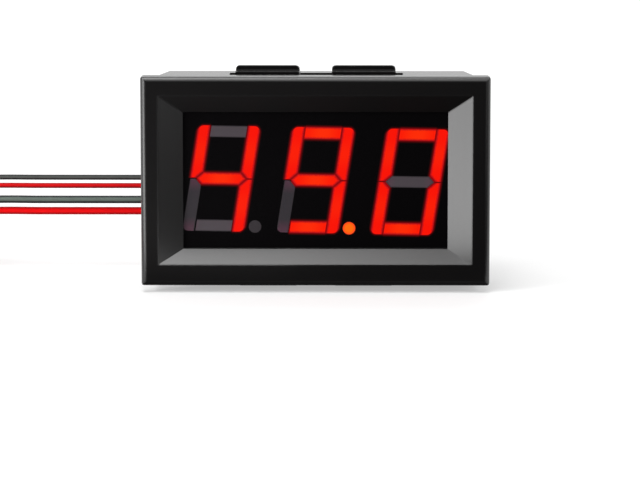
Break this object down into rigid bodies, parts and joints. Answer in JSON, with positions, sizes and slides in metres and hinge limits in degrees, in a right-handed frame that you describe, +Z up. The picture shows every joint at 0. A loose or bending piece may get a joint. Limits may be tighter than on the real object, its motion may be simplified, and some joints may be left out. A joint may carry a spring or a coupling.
{
  "type": "digital panel meter",
  "caption": "Snap-in LED panel ammeter: black rectangular bezel with a sunk seven-segment display, spring ears, a circuit board behind and soldered-on leads.",
  "frame": {"origin": "under the middle of the case, at the foot of the lower spring ears", "axes": "+X to the reader's right, +Y from the bezel's face to the open back, +Z up"},
  "size_m": [0.0926, 0.0354, 0.0309],
  "materials": {
    "case_plastic": "satin",
    "display_black": "matte",
    "segment_lit": "glowing",
    "segment_dark": "satin",
    "point_lit": "glowing",
    "bare_laminate": "satin",
    "chip_gold": "satin",
    "potting_resin": "gloss",
    "tinned_metal": "satin",
    "solder_mask": "gloss",
    "solder": "bright",
    "package_black": "matte",
    "tantalum_yellow": "satin",
    "capacitor_tan": "satin",
    "resistor_black": "gloss",
    "trimmer_white": "satin",
    "brass_disc": "satin",
    "lead_black": "satin",
    "lead_red": "satin",
    "tie_black": "satin"
  },
  "bodies": {
    "meter": {"housing": "case_plastic", "display_reflector": "display_black", "digit_1_lit": "segment_lit", "digit_1_dark": "segment_dark", "digit_2_lit": "segment_lit", "digit_2_dark": "segment_dark", "digit_3_lit": "segment_lit", "digit_3_dark": "segment_dark", "point_lit": "point_lit", "point_dark": "segment_dark", "display_board": "bare_laminate", "light_chips": "chip_gold", "display_resin": "potting_resin", "display_pins": "tinned_metal", "circuit_board": "solder_mask", "pin_solder": "solder", "controller_body": "package_black", "controller_leads": "tinned_metal", "amplifier_body": "package_black", "amplifier_leads": "tinned_metal", "regulator_body": "package_black", "regulator_tabs": "tinned_metal", "diode_body": "package_black", "diode_tabs": "tinned_metal", "tantalum_body": "tantalum_yellow", "tantalum_tabs": "tinned_metal", "capacitor_bodies": "capacitor_tan", "resistor_bodies": "resistor_black", "chip_part_ends": "tinned_metal", "trimmer_body": "trimmer_white", "trimmer_tabs": "tinned_metal", "lead_solder": "solder", "supply_minus_lead": "lead_black", "supply_plus_lead": "lead_red", "signal_minus_lead": "lead_black", "signal_plus_lead": "lead_red", "supply_coil": "lead_red", "signal_coil": "lead_red", "supply_tie": "tie_black", "signal_tie": "tie_black", "supply_minus_tip": "tinned_metal", "supply_plus_tip": "tinned_metal", "signal_minus_tip": "tinned_metal", "signal_plus_tip": "tinned_metal"},
    "trimmer": {"trimmer_rotor": "brass_disc"}
  },
  "joints": [
    {"name": "trimmer_turn", "type": "hinge", "parent": "meter", "child": "trimmer", "pos_m": [0.0136, 0.0035, 0.01425], "axis": [0, 1, 0], "range_deg": [-130, 130]}
  ]
}
